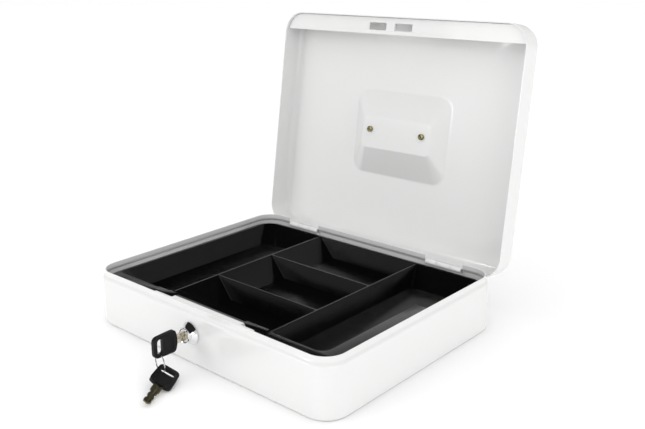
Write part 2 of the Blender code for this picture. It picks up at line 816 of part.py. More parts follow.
def make_lock_cover():
    """Folded cover round the hook, open at the top behind its shelf."""
    front = LIP_INNER_Y + GAP
    low = COVER_TOP - SHEET
    shelf_outline = [
        (COVER_TAB_LEFT, front),
        (COVER_TAB_RIGHT, front),
        (COVER_TAB_RIGHT, COVER_TAB_Y),
        (COVER_RIGHT, COVER_TAB_Y),
        (COVER_RIGHT, COVER_SHELF_Y),
        (COVER_LEFT, COVER_SHELF_Y),
        (COVER_LEFT, COVER_TAB_Y),
        (COVER_TAB_LEFT, COVER_TAB_Y),
    ]
    cover = plate("lock_cover", [shelf_outline], SHEET)
    cover.location = (0, 0, low)
    for left, right in ((COVER_TAB_LEFT, COVER_LEFT + SHEET), (COVER_RIGHT - SHEET, COVER_TAB_RIGHT)):
        leg = box(
            "cover_tab",
            (left, front, COVER_TOP - COVER_TAB_LEG),
            (right, front + SHEET, low + SHEET / 2),
            helper=True,
        )
        join(cover, leg)
    side_outline = [
        (front, low + SHEET / 2),
        (front, SHOULDER_HEIGHT),
        (front - 0.0008, SHOULDER_HEIGHT - 0.003),
        (front - 0.0008, COVER_BOTTOM),
        (COVER_REAR_Y - SHEET / 2, COVER_BOTTOM),
        (COVER_REAR_Y - SHEET / 2, COVER_REAR_TOP),
        (COVER_SHELF_Y, low + SHEET / 2),
    ]
    for x in (COVER_LEFT, COVER_RIGHT - SHEET):
        wall = plate("cover_side", [side_outline], SHEET, helper=True)
        wall.rotation_euler = (math.pi / 2, 0, math.pi / 2)
        wall.location = (x, 0, 0)
        join(cover, wall)
    rear = box(
        "cover_rear",
        (COVER_LEFT, COVER_REAR_Y - SHEET, COVER_BOTTOM),
        (COVER_RIGHT, COVER_REAR_Y, COVER_REAR_TOP),
        helper=True,
    )
    join(cover, rear)
    return white_paint(cover)


def make_lock_barrel():
    """Chromed barrel with a bell-shaped head."""
    bore = PLUG_RADIUS + GAP
    profile = [
        (bore, BELL_HEIGHT),
        (BELL_FRONT_RADIUS - 0.0004, BELL_HEIGHT),
        (BELL_FRONT_RADIUS, BELL_HEIGHT - 0.0004),
        (BELL_FRONT_RADIUS + 0.0001, BELL_HEIGHT - 0.0016),
        (BELL_FRONT_RADIUS + 0.0005, BELL_HEIGHT - 0.0034),
        (BELL_FRONT_RADIUS + 0.0013, BELL_HEIGHT - 0.0052),
        (BELL_RADIUS - 0.0007, 0.0018),
        (BELL_RADIUS, 0.0009),
        (BELL_RADIUS, GAP),
        (BARREL_RADIUS, GAP),
        (BARREL_RADIUS, -BARREL_LENGTH),
        (bore, -BARREL_LENGTH),
    ]
    barrel = lathe("lock_barrel", profile, (LOCK_X, FRONT_Y, LOCK_Z), steps=48, closed=True)
    return bare_metal(barrel, (0.80, 0.80, 0.82), 0.08)


def make_lock_nut():
    """Hexagon nut on the barrel inside the front wall."""
    near = FRONT_Y + SHEET + GAP
    far = near + NUT_THICKNESS
    nut = rod("lock_nut", NUT_RADIUS, (LOCK_X, near, LOCK_Z), (LOCK_X, far, LOCK_Z), UPRIGHT, sides=6)
    bore = rod(
        "nut_bore",
        BARREL_RADIUS + GAP,
        (LOCK_X, near - 0.004, LOCK_Z),
        (LOCK_X, far + 0.004, LOCK_Z),
        UPRIGHT,
        helper=True,
    )
    cut(nut, bore)
    return bare_metal(nut)


def wafer_stations():
    """Y of the middle of each wafer."""
    first = PLUG_FACE_Y + FIRST_WAFER
    return [first + WAFER_PITCH * number for number in range(WAFER_COUNT)]


def make_lock_plug():
    """Turning core with a keyway, slots for the wafers and a square drive for the hook."""
    face = (LOCK_X, PLUG_FACE_Y, LOCK_Z)
    back = (LOCK_X, PLUG_BACK_Y, LOCK_Z)
    plug = rod("lock_plug", PLUG_RADIUS, face, back, UPRIGHT, sides=40)
    half = DRIVE_SIZE / 2
    drive = box(
        "square_drive",
        (LOCK_X - half, PLUG_BACK_Y - 0.001, LOCK_Z - half),
        (LOCK_X + half, HOOK_Y + HOOK_THICKNESS / 2, LOCK_Z + half),
        helper=True,
    )
    join(plug, drive)
    keyway = box(
        "keyway",
        (LOCK_X - KEYWAY[0] / 2, PLUG_FACE_Y - 0.002, LOCK_Z - KEYWAY[1] / 2),
        (LOCK_X + KEYWAY[0] / 2, FRONT_Y + KEYWAY_DEPTH, LOCK_Z + KEYWAY[1] / 2),
        helper=True,
    )
    cut(plug, keyway)
    reach = PLUG_RADIUS + 0.001
    for number, y in enumerate(wafer_stations()):
        slot = box(
            "wafer_slot_%d" % number,
            (LOCK_X - WAFER_WIDTH / 2 - GAP, y - WAFER_THICKNESS / 2 - GAP, LOCK_Z - reach),
            (LOCK_X + WAFER_WIDTH / 2 + GAP, y + WAFER_THICKNESS / 2 + GAP, LOCK_Z + reach),
            helper=True,
        )
        cut(plug, slot)
    hole = rod(
        "screw_bore",
        SCREW_RADIUS + GAP,
        (LOCK_X, HOOK_Y - 0.0026, LOCK_Z),
        (LOCK_X, HOOK_Y + 0.006, LOCK_Z),
        UPRIGHT,
        sides=20,
        helper=True,
    )
    cut(plug, hole)
    return bare_metal(smooth(plug), (0.70, 0.69, 0.67), 0.22)


def make_wafer(number):
    """Brass tumbler with a window that the key blade passes through."""
    y = wafer_stations()[number]
    half = WAFER_WIDTH / 2
    radius = PLUG_RADIUS - 0.0001
    rise = math.asin(half / radius)
    outline = arc_points((0, 0), radius, math.pi / 2 - rise, math.pi / 2 + rise, 6)
    outline += arc_points((0, 0), radius, math.pi * 1.5 - rise, math.pi * 1.5 + rise, 6)
    window = rounded(KEYWAY[0] / 2, KEYWAY[1] / 2 + 0.0004, 0.0003, steps=1)
    wafer = plate("wafer_%d" % (number + 1), [outline, window], WAFER_THICKNESS)
    wafer.rotation_euler = UPRIGHT
    wafer.location = (LOCK_X, y + WAFER_THICKNESS / 2, LOCK_Z)
    return bare_metal(wafer, (0.78, 0.60, 0.30), 0.3)


def clock_point(radius, angle):
    """Point at an angle measured clockwise from straight up, seen from the front."""
    return (radius * math.sin(angle), radius * math.cos(angle))


def make_lock_cam():
    """Hook plate: a hub, an arm and an arc that reaches up through the strike slots."""
    side = HOOK_ARM / 2
    arm = HOOK_END - math.asin(side / HOOK_OUTER)
    steps = 18
    outline = []
    for step in range(steps + 1):
        outline.append(clock_point(HOOK_OUTER, HOOK_START + (HOOK_END - HOOK_START) * step / steps))
    start = arm + math.asin(side / HOOK_HUB)
    turn = 2 * math.pi - 2 * math.asin(side / HOOK_HUB)
    for step in range(21):
        outline.append(clock_point(HOOK_HUB, start + turn * step / 20))
    inner_end = arm - math.asin(side / HOOK_INNER)
    for step in range(steps + 1):
        outline.append(clock_point(HOOK_INNER, inner_end + (HOOK_START - inner_end) * step / steps))
    half = DRIVE_SIZE / 2 + GAP
    hole = [(-half, -half), (half, -half), (half, half), (-half, half)]
    cam = plate("lock_cam", [outline, hole], HOOK_THICKNESS)
    cam.rotation_euler = UPRIGHT
    cam.location = (LOCK_X, HOOK_Y + HOOK_THICKNESS / 2, LOCK_Z)
    return bare_metal(cam)


def make_cam_washer():
    """Washer between the hook and its screw."""
    start = HOOK_Y + HOOK_THICKNESS / 2 + GAP
    outline = arc_points((0, 0), WASHER_RADIUS, 0, 2 * math.pi, 28)[:-1]
    hole = arc_points((0, 0), SCREW_RADIUS + GAP, 0, 2 * math.pi, 20)[:-1]
    washer = plate("cam_washer", [outline, hole], WASHER_THICKNESS)
    washer.rotation_euler = UPRIGHT
    washer.location = (LOCK_X, start + WASHER_THICKNESS, LOCK_Z)
    return bare_metal(washer)


def screw_shape(name, length, head_height):
    """Slotted screw pointing along +Z with the seat of its head at the origin."""
    screw = rod(name, SCREW_RADIUS, (0, 0, -head_height / 2), (0, 0, length), (0, 0), sides=20)
    head = rod(
        name + "_head",
        SCREW_HEAD_RADIUS,
        (0, 0, -head_height),
        (0, 0, 0),
        (0, 0),
        sides=28,
        helper=True,
    )
    slot = box(
        name + "_slot",
        (-SCREW_HEAD_RADIUS * 2, -0.0004, -head_height * 2),
        (SCREW_HEAD_RADIUS * 2, 0.0004, -head_height * 0.6),
        helper=True,
    )
    join(screw, head)
    cut(screw, slot)
    return screw


def make_cam_screw():
    """Screw that holds the hook on the plug."""
    seat = HOOK_Y + HOOK_THICKNESS / 2 + WASHER_THICKNESS + 2 * GAP
    screw = screw_shape("cam_screw", CAM_SCREW_LENGTH, CAM_SCREW_HEAD)
    screw.location = (LOCK_X, seat, LOCK_Z)
    screw.rotation_euler = UPRIGHT
    return bare_metal(smooth(screw))


def make_handle_screw(number, label):
    """Screw through the recess floor into a handle post; its head is inside the lid."""
    seat = FLOOR_OF_RECESS - SHEET - GAP
    screw = screw_shape("handle_screw_" + label, SHEET + SCREW_GRIP, SCREW_HEAD_HEIGHT)
    screw.location = (handle_stations()[number], HANDLE_Y, seat)
    screw.rotation_euler = (0, 0, math.radians(20 + 30 * number))
    return bare_metal(smooth(screw), (0.42, 0.36, 0.20), 0.35)


def make_handle_post(number, label):
    """Block on the recess floor that the handle turns in."""
    x = handle_stations()[number]
    base = FLOOR_OF_RECESS + GAP
    post = box(
        "handle_post_" + label,
        (x - POST_LENGTH / 2, HANDLE_Y - POST_WIDTH / 2, base),
        (x + POST_LENGTH / 2, HANDLE_Y + POST_WIDTH / 2, base + POST_HEIGHT - GAP),
    )
    axis_z = FLOOR_OF_RECESS + HANDLE_LIFT
    eye = rod(
        "post_eye",
        HANDLE_RADIUS + GAP,
        (x - POST_LENGTH, HANDLE_Y, axis_z),
        (x + POST_LENGTH, HANDLE_Y, axis_z),
        ALONG_X,
        sides=24,
        helper=True,
    )
    cut(post, eye)
    bore = rod(
        "post_bore",
        SCREW_RADIUS + GAP,
        (x, HANDLE_Y, base - 0.002),
        (x, HANDLE_Y, axis_z),
        (0, 0),
        sides=20,
        helper=True,
    )
    cut(post, bore)
    return bare_metal(post)


def make_carry_handle():
    """Round bail whose turned-in ends sit in the two posts."""
    left, right = handle_stations()
    out = POST_LENGTH / 2 + GAP + HANDLE_RADIUS + 0.0006
    axis_z = FLOOR_OF_RECESS + HANDLE_LIFT
    tip_y = HANDLE_Y + HANDLE_REACH
    bend = HANDLE_BEND / 2
    flat = [(left + POST_LENGTH / 2 + 0.0010, HANDLE_Y)]
    flat += reversed(arc_points((left - out + bend, HANDLE_Y + bend), bend, math.pi, 1.5 * math.pi, 4))
    flat += reversed(
        arc_points((left - out + HANDLE_BEND, tip_y - HANDLE_BEND), HANDLE_BEND, math.pi / 2, math.pi, 5)
    )
    flat += reversed(
        arc_points((right + out - HANDLE_BEND, tip_y - HANDLE_BEND), HANDLE_BEND, 0, math.pi / 2, 5)
    )
    flat += reversed(arc_points((right + out - bend, HANDLE_Y + bend), bend, 1.5 * math.pi, 2 * math.pi, 4))
    flat += [(right - POST_LENGTH / 2 - 0.0010, HANDLE_Y)]
    return wire_along("carry_handle", [(x, y, axis_z) for x, y in flat], HANDLE_RADIUS)


def wire_along(name, path, radius):
    """Round wire along a path, as a closed mesh."""
    curve = bpy.data.curves.new(name, "CURVE")
    curve.dimensions = "3D"
    curve.bevel_depth = radius
    curve.bevel_resolution = 2
    curve.use_fill_caps = True
    spline = curve.splines.new("POLY")
    spline.points.add(len(path) - 1)
    for point, place_at in zip(spline.points, path):
        point.co = (*place_at, 1)
    source = bpy.data.objects.new(name + "_path", curve)
    bpy.context.scene.collection.objects.link(source)
    bpy.context.view_layer.update()
    graph = bpy.context.evaluated_depsgraph_get()
    mesh = bpy.data.meshes.new_from_object(source.evaluated_get(graph))
    bpy.data.objects.remove(source, do_unlink=True)
    shape = bmesh.new()
    shape.from_mesh(mesh)
    bmesh.ops.remove_doubles(shape, verts=shape.verts, dist=1e-6)
    bmesh.ops.recalc_face_normals(shape, faces=shape.faces)
    shape.to_mesh(mesh)
    shape.free()
    return bare_metal(smooth(add_mesh(name, mesh), angle=60), (0.80, 0.80, 0.82), 0.12)


def key_head_outlines():
    """Edge and ring slot of a key's grip, along +X from its far edge."""
    far = -KEY_FAR
    half = KEY_HALF_WIDTH
    corner = KEY_CORNER
    outline = arc_points((far + corner, half - corner - 0.0006), corner, math.pi, math.pi / 2, 4)
    outline += [(0.006, half - 0.0002), (0.0140, half), (0.0160, half - 0.0012)]
    outline += [(KEY_FRONT - 0.0006, half * 0.5), (KEY_FRONT, 0), (KEY_FRONT - 0.0006, -half * 0.5)]
    outline += [(0.0160, -half + 0.0012), (0.0140, -half), (0.006, -half + 0.0002)]
    outline += arc_points((far + corner, -half + corner + 0.0006), corner, 1.5 * math.pi, math.pi, 4)
    slot = rounded(KEY_SLOT[0] / 2, KEY_SLOT[1] / 2, KEY_SLOT[0] / 2 - 0.0003, steps=3)
    return [outline, slot]


def notched_edge(side, notches):
    """One edge of the blade from the tang to the tip, cut with the bit notches."""
    start = KEY_SHOULDER
    edge = [(KEY_TANG, KEY_BLADE_HALF), (start, KEY_BLADE_HALF), (start, KEY_BIT_HALF)]
    slope = 0.0009
    for at, length, depth in notches:
        floor = KEY_BIT_HALF - depth
        edge.append((start + at, KEY_BIT_HALF))
        edge.append((start + at + slope, floor))
        edge.append((start + at + length - slope, floor))
        edge.append((start + at + length, KEY_BIT_HALF))
    edge.append((KEY_TIP - KEY_BEVEL, KEY_BIT_HALF))
    edge.append((KEY_TIP, KEY_BIT_HALF * 0.35))
    return [(x, side * y) for x, y in edge]


def key_blade_outline():
    """Flat blade from the tang inside the head to the tip, with bit notches on both edges."""
    upper = notched_edge(1, ((0.0030, 0.0040, 0.0011), (0.0095, 0.0031, 0.0007)))
    lower = notched_edge(-1, ((0.0010, 0.0035, 0.0008), (0.0070, 0.0040, 0.0010)))
    return upper + list(reversed(lower))


def make_key(prefix, shade):
    """Key lying in XY with its ring slot round the origin: a head and a blade."""
    head = plate(prefix + "key_head", key_head_outlines(), KEY_THICKNESS)
    for vertex in head.data.vertices:
        vertex.co.z -= KEY_THICKNESS / 2
    pocket = box(
        prefix + "tang_pocket",
        (KEY_TANG - GAP, -KEY_BLADE_HALF - GAP, -KEY_BLADE_THICKNESS / 2 - GAP),
        (KEY_FRONT + 0.004, KEY_BLADE_HALF + GAP, KEY_BLADE_THICKNESS / 2 + GAP),
        helper=True,
    )
    cut(head, pocket)
    black_plastic(head)
    blade = plate(prefix + "key_blade", [key_blade_outline()], KEY_BLADE_THICKNESS)
    for vertex in blade.data.vertices:
        vertex.co.z -= KEY_BLADE_THICKNESS / 2
    return head, bare_metal(blade, shade, 0.3)


def make_lock_key():
    """Key in the lock, its blade upright in the keyway; its origin is on the lock's axis."""
    key = make_key("", (0.66, 0.60, 0.48))
    for obj in key:
        obj.matrix_world = Matrix(
            (
                (0, 0, 1, LOCK_X),
                (1, 0, 0, KEY_SLOT_Y),
                (0, 1, 0, LOCK_Z),
                (0, 0, 0, 1),
            )
        )
    return key


def make_spare_key():
    """Spare key lying in front of the box, its slot held up by the ring."""
    key = make_key("spare_", (0.36, 0.33, 0.22))
    for obj in key:
        obj.location = (LOCK_X + SPARE_OFFSET[0], KEY_SLOT_Y + SPARE_OFFSET[1], SPARE_HEIGHT)
        obj.rotation_euler = (SPARE_ROLL, SPARE_DIP, SPARE_HEADING)
    return key


def make_key_ring():
    """Ring through the slots of both keys."""
    bpy.ops.mesh.primitive_torus_add(
        major_radius=RING_RADIUS,
        minor_radius=RING_WIRE,
        major_segments=48,
        minor_segments=8,
        location=(LOCK_X, KEY_SLOT_Y, RING_TOP_Z - RING_RADIUS),
        rotation=(math.pi / 2, 0, RING_TURN),
    )
    ring = bpy.context.active_object
    ring.name = "key_ring"
    for group in list(ring.users_collection):
        group.objects.unlink(ring)
    PARTS.objects.link(ring)
    return bare_metal(smooth(ring, angle=80), (0.70, 0.70, 0.70), 0.2)


def build_box():
    """Everything that stays with the body."""
    make_body_shell()
    make_lock_cover()
    make_lock_barrel()
    make_lock_nut()
    for side, label in ((-1, "left"), (1, "right")):
        make_tray_ledge(side, label)
        make_hinge_body_leaf(side, label)
        make_hinge_pin(side, label)


def build_lid():
    """Lid and what rides on it, swung open."""
    hinge = pivot("lid_pivot", (0, HINGE_Y, HINGE_Z))
    riders = [make_lid_shell(), make_strike_flange()]
    for side, label in ((-1, "left"), (1, "right")):
        riders.append(make_hinge_lid_leaf(side, label))
    for number, label in enumerate(("left", "right")):
        riders += [make_handle_screw(number, label), make_handle_post(number, label)]
    carry(hinge, *riders)
    fold_axis = pivot("handle_pivot", (0, HANDLE_Y, FLOOR_OF_RECESS + HANDLE_LIFT))
    carry(fold_axis, make_carry_handle())
    carry(hinge, fold_axis)
    fold_axis.rotation_euler = (LID_OPEN - math.pi / 2, 0, 0)
    hinge.rotation_euler = (-LID_OPEN, 0, 0)


def build_tray():
    """Coin tray on its own slide."""
    carry(pivot("tray_pivot", (0, 0, TRAY_TOP)), make_coin_tray())


def build_lock():
    """Plug, hook and keys."""
    turn = pivot("plug_pivot", (LOCK_X, FRONT_Y, LOCK_Z))
    carry(turn, make_lock_plug(), make_lock_cam(), make_cam_washer(), make_cam_screw())
    for number in range(WAFER_COUNT):
        carry(turn, make_wafer(number))
    make_lock_key()
    ring_seat = pivot("ring_pivot", (LOCK_X, KEY_SLOT_Y, RING_TOP_Z))
    carry(ring_seat, make_key_ring())
    contact = (LOCK_X + SPARE_CONTACT[0], KEY_SLOT_Y + SPARE_CONTACT[1], SPARE_CONTACT[2])
    spare_seat = pivot("spare_key_pivot", contact)
    carry(spare_seat, *make_spare_key())
    carry(ring_seat, spare_seat)


build_box()
build_lid()
build_tray()
build_lock()
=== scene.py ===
"""Looks of the portable cash box: fine sheet-metal shells, a moulded tray, keys and their materials.

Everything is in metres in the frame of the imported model. The lid and what is on it are drawn in
their closed position and then swung open about the hinge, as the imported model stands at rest.
"""

import json
import math

import bmesh
import bpy
from mathutils import Matrix, Vector


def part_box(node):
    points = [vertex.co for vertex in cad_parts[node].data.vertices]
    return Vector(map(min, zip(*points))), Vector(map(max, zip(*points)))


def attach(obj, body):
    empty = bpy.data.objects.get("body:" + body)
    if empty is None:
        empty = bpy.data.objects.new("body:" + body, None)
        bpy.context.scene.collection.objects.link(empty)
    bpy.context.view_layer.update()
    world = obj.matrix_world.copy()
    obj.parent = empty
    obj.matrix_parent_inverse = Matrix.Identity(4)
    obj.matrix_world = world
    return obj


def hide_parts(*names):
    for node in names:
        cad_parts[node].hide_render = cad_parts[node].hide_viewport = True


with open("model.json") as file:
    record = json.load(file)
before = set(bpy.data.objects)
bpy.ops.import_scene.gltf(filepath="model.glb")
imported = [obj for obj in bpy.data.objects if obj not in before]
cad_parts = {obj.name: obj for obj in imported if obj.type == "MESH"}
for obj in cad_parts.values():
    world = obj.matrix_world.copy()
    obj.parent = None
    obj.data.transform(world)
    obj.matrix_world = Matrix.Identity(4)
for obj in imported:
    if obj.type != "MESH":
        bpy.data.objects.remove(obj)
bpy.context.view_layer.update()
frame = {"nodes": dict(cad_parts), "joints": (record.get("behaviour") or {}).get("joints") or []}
JOINTS = {joint["name"]: joint for joint in frame["joints"]}
NODES = frame["nodes"]

# Sizes read from the frame
BODY_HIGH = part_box("body_shell")[1]
HALF_WIDTH = BODY_HIGH[0]
HALF_DEPTH = BODY_HIGH[1]
BODY_HEIGHT = BODY_HIGH[2]
HINGE = Vector(JOINTS["lid_hinge"]["pos_m"])
LID_OPEN = math.radians(-JOINTS["lid_hinge"]["range_deg"][0])
LOCK = Vector(JOINTS["plug_turn"]["pos_m"])
OPEN_LID = Matrix.Translation(HINGE) @ Matrix.Rotation(-LID_OPEN, 4, "X") @ Matrix.Translation(-HINGE)
FRONT_Y = -HALF_DEPTH

# Sheet metal
SHEET = 0.0010
BOX_CORNER = 0.0223
CORNER_STEPS = 20
FLOOR_FOLD = 0.0020
SHOULDER = 0.0454
JOGGLE = 0.0025
LID_RIM = 0.0494
LID_TOP = LID_RIM + 0.0270
LID_FOLD = 0.0080
GAP = 0.0003
SHEET_EASE = 0.00028
FLANGE_EASE = 0.00022

# Lid details, closed
RECESS_CENTRE = (0.0036, 0.0010)
RECESS_MOUTH = (0.0585, 0.0442)
RECESS_FLOOR = (0.0412, 0.0150)
RECESS_DEPTH = 0.0090
RECESS_MOUTH_CORNER = 0.0130
RECESS_FLOOR_CORNER = 0.0040
RECESS_FOLD = 0.0030
RECESS_ROUND = 0.0009
RECESS_STEPS = 5
FLANGE_Z = BODY_HEIGHT + GAP
FLANGE_REACH = 0.0182
FLANGE_LEG = 0.0080
FLANGE_LEG_HALF = 0.1250
SLOT_CENTRES = (-0.02265, 0.00970)
SLOT_SIZE = (0.0220, 0.0076)
SLOT_Y = -0.1097
SLOT_CORNER = 0.0012

# Hinges
HINGE_SPREAD = 0.0925
NOTCH_REACH = 0.0215
NOTCH_FLOOR = HINGE.z - 0.00253

# Lock and keys
BARREL_RADIUS = 0.0080
BARREL_LENGTH = 0.0095
BELL_RADIUS = 0.01025
BELL_FRONT = 0.0074
BELL_HEIGHT = 0.0085
PLUG_RADIUS = 0.0056
THREADS = 9
THREAD_DEPTH = 0.00035
FLARE_STEPS = 12
KEY_FAR = 0.0065
KEY_FRONT = 0.0182
KEY_HALF_WIDTH = 0.0100
KEY_THICKNESS = 0.0032
KEY_SLOT = (0.0056, 0.0135)
KEY_SHOULDER = 0.0263
KEY_TIP = 0.0420
KEY_BLADE_HALF = 0.0041
KEY_BIT_HALF = 0.0033
KEY_BLADE_THICKNESS = 0.0018
KEY_TANG = 0.0080
KEY_TIP_BEVEL = 0.0014
KEY_DISH = (0.0042, 0.0072)
KEY_DISH_CENTRE = (0.0096, 0)
HEAD_CORNER = 0.0045
HEAD_SHOULDER = 0.0163
NOTCH_RAMP = 0.0009
UPPER_BITS = ((0.0030, 0.0011, 0.0040), (0.0095, 0.0007, 0.0031))
LOWER_BITS = ((0.0010, 0.0008, 0.0035), (0.0070, 0.0010, 0.0040))
SPARE_SLOT = (0.00238, -0.15382, 0.00720)
SPARE_TURN = (math.radians(-27.4), math.radians(4.5), math.radians(-62.3))
RING_RADIUS = 0.0089
RING_WIRE = 0.000294
RING_TURN = math.radians(-13)
RING_TURNS = 2
RING_STEPS = 96


# Shapes


def add_object(name, mesh):
    obj = bpy.data.objects.new(name, mesh)
    bpy.context.scene.collection.objects.link(obj)
    return obj


def from_bmesh(name, shape):
    mesh = bpy.data.meshes.new(name)
    shape.to_mesh(mesh)
    shape.free()
    return add_object(name, mesh)


def arc_points(centre, radius, first, last, steps):
    """Points along an arc, counter-clockwise when last is larger."""
    points = []
    for step in range(steps + 1):
        angle = first + (last - first) * step / steps
        points.append((centre[0] + radius * math.cos(angle), centre[1] + radius * math.sin(angle)))
    return points


def rounded(half_x, half_y, radii, centre=(0, 0), steps=CORNER_STEPS):
    """Rectangle with a rounded corner in each quadrant, counter-clockwise from +X."""
    if not isinstance(radii, tuple):
        radii = (radii,) * 4
    points = []
    for quarter, (side_x, side_y) in enumerate(((1, 1), (-1, 1), (-1, -1), (1, -1))):
        radius = radii[quarter]
        middle = (centre[0] + side_x * (half_x - radius), centre[1] + side_y * (half_y - radius))
        first = quarter * math.pi / 2
        points += arc_points(middle, radius, first, first + math.pi / 2, steps)
    return points


def loft(name, rings, close_start=True, close_end=True):
    """Skin over stacked outlines, each a list of points and a height."""
    shape = bmesh.new()
    loops = [[shape.verts.new((x, y, height)) for x, y in outline] for outline, height in rings]
    for lower, upper in zip(loops, loops[1:]):
        for this in range(len(lower)):
            after = (this + 1) % len(lower)
            shape.faces.new((lower[this], lower[after], upper[after], upper[this]))
    if close_start:
        shape.faces.new(list(reversed(loops[0])))
    if close_end:
        shape.faces.new(loops[-1])
    return from_bmesh(name, shape)


def box(name, low, high):
    """Rectangular block between two corners, used as a cutter."""
    shape = bmesh.new()
    middle = [(a + b) / 2 for a, b in zip(low, high)]
    size = [b - a for a, b in zip(low, high)]
    matrix = Matrix.Translation(middle) @ Matrix.Diagonal((*size, 1))
    bmesh.ops.create_cube(shape, size=1, matrix=matrix)
    return from_bmesh(name, shape)


def plate(name, outlines, thickness):
    """Flat plate in XY from z=0 up: the first outline is the edge, the others are holes."""
    curve = bpy.data.curves.new(name, "CURVE")
    curve.dimensions = "2D"
    curve.fill_mode = "BOTH"
    curve.extrude = thickness / 2
    for outline in outlines:
        spline = curve.splines.new("POLY")
        spline.points.add(len(outline) - 1)
        for point, (x, y) in zip(spline.points, outline):
            point.co = (x, y, 0, 1)
        spline.use_cyclic_u = True
    mesh = mesh_of_curve(name, curve)
    mesh.transform(Matrix.Translation((0, 0, thickness / 2)))
    return add_object(name, mesh)


def mesh_of_curve(name, curve):
    """Closed mesh made from a curve."""
    source = add_object(name + "_outline", curve)
    bpy.context.view_layer.update()
    graph = bpy.context.evaluated_depsgraph_get()
    mesh = bpy.data.meshes.new_from_object(source.evaluated_get(graph))
    bpy.data.objects.remove(source, do_unlink=True)
    shape = bmesh.new()
    shape.from_mesh(mesh)
    bmesh.ops.remove_doubles(shape, verts=shape.verts, dist=1e-6)
    bmesh.ops.dissolve_limit(shape, angle_limit=0.001, verts=shape.verts, edges=shape.edges)
    bmesh.ops.recalc_face_normals(shape, faces=shape.faces)
    shape.to_mesh(mesh)
    shape.free()
    return mesh


def wire(name, path, radius, cyclic=False, detail=6):
    """Round wire along a path."""
    curve = bpy.data.curves.new(name, "CURVE")
    curve.dimensions = "3D"
    curve.bevel_depth = radius
    curve.bevel_resolution = detail
    curve.use_fill_caps = True
    spline = curve.splines.new("POLY")
    spline.points.add(len(path) - 1)
    for point, at in zip(spline.points, path):
        point.co = (*at, 1)
    spline.use_cyclic_u = cyclic
    return add_object(name, mesh_of_curve(name, curve))


def turned(name, profile, location, steps=96):
    """Turned shape about a line along Y; the closed profile gives radius and distance forward."""
    shape = bmesh.new()
    loops = []
    for step in range(steps):
        angle = 2 * math.pi * step / steps
        ring = []
        for radius, height in profile:
            ring.append(shape.verts.new((radius * math.cos(angle), -height, radius * math.sin(angle))))
        loops.append(ring)
    for step in range(steps):
        here = loops[step]
        there = loops[(step + 1) % steps]
        for this in range(len(profile)):
            after = (this + 1) % len(profile)
            shape.faces.new((here[this], here[after], there[after], there[this]))
    bmesh.ops.recalc_face_normals(shape, faces=shape.faces)
    obj = from_bmesh(name, shape)
    obj.location = location
    return obj


def modifier(obj, kind, **values):
    """Add a modifier with its settings."""
    added = obj.modifiers.new(kind.lower(), kind)
    for key, value in values.items():
        setattr(added, key, value)
    return added


def cut(obj, cutter, operation="DIFFERENCE"):
    """Boolean with a helper, applied at once so that the helper can go."""
    modifier(obj, "BOOLEAN", operation=operation, solver="EXACT", object=cutter)
    apply_modifiers(obj)
    bpy.data.objects.remove(cutter, do_unlink=True)
    return obj


def apply_modifiers(obj):
    """Replace the mesh with its evaluated form."""
    bpy.context.view_layer.update()
    graph = bpy.context.evaluated_depsgraph_get()
    mesh = bpy.data.meshes.new_from_object(obj.evaluated_get(graph))
    obj.modifiers.clear()
    obj.data = mesh


def bevel(obj, width, segments=2, angle=35):
    """Round the edges sharper than the angle."""
    modifier(
        obj,
        "BEVEL",
        width=width,
        segments=segments,
        limit_method="ANGLE",
        angle_limit=math.radians(angle),
        use_clamp_overlap=True,
        harden_normals=False,
    )
    return obj


def smooth(obj, angle=30):
    """Smooth shading that keeps edges sharper than the angle crisp."""
    for face in obj.data.polygons:
        face.use_smooth = True
    obj.data.set_sharp_from_angle(angle=math.radians(angle))
    return obj


def steel(obj):
    """Sheet thickness, inward from the outer face."""
    modifier(
        obj, "SOLIDIFY", thickness=SHEET, offset=-1, use_even_offset=True, use_quality_normals=True
    )
    apply_modifiers(obj)
    return obj


def quarter_fold(inset, low, high, steps):
    """Inset and height along a quarter-round fold between a wall and a flat panel."""
    pairs = []
    for step in range(steps + 1):
        angle = math.pi / 2 * step / steps
        pairs.append((inset * (1 - math.cos(angle)), low + (high - low) * math.sin(angle)))
    return pairs


def bend(points, radius, steps=4):
    """Round the inner corners of a profile of (inset, height) pairs."""
    result = [points[0]]
    for before, here, after in zip(points, points[1:], points[2:]):
        corner = Vector(here)
        back = Vector(before) - corner
        onward = Vector(after) - corner
        reach = min(radius, back.length / 2.2, onward.length / 2.2)
        start = corner + back.normalized() * reach
        end = corner + onward.normalized() * reach
        for step in range(steps + 1):
            share = step / steps
            entering = start.lerp(corner, share)
            leaving = corner.lerp(end, share)
            result.append(tuple(entering.lerp(leaving, share)))
    result.append(points[-1])
    return result


# Materials


def new_material(name):
    """Node material with its nodes, links and shader."""
    material = bpy.data.materials.new(name)
    material.use_nodes = True
    nodes = material.node_tree.nodes
    return material, nodes, material.node_tree.links, nodes["Principled BSDF"]


def noise(nodes, links, scale, detail=2.0, roughness=0.5, stretch=None):
    """Noise texture in object coordinates, in features per metre."""
    texture = nodes.new("ShaderNodeTexNoise")
    texture.inputs["Scale"].default_value = scale
    texture.inputs["Detail"].default_value = detail
    texture.inputs["Roughness"].default_value = roughness
    where = nodes.new("ShaderNodeTexCoord")
    if stretch:
        mapping = nodes.new("ShaderNodeMapping")
        mapping.inputs["Scale"].default_value = stretch
        links.new(where.outputs["Object"], mapping.inputs["Vector"])
        links.new(mapping.outputs["Vector"], texture.inputs["Vector"])
    else:
        links.new(where.outputs["Object"], texture.inputs["Vector"])
    return texture.outputs["Fac"]


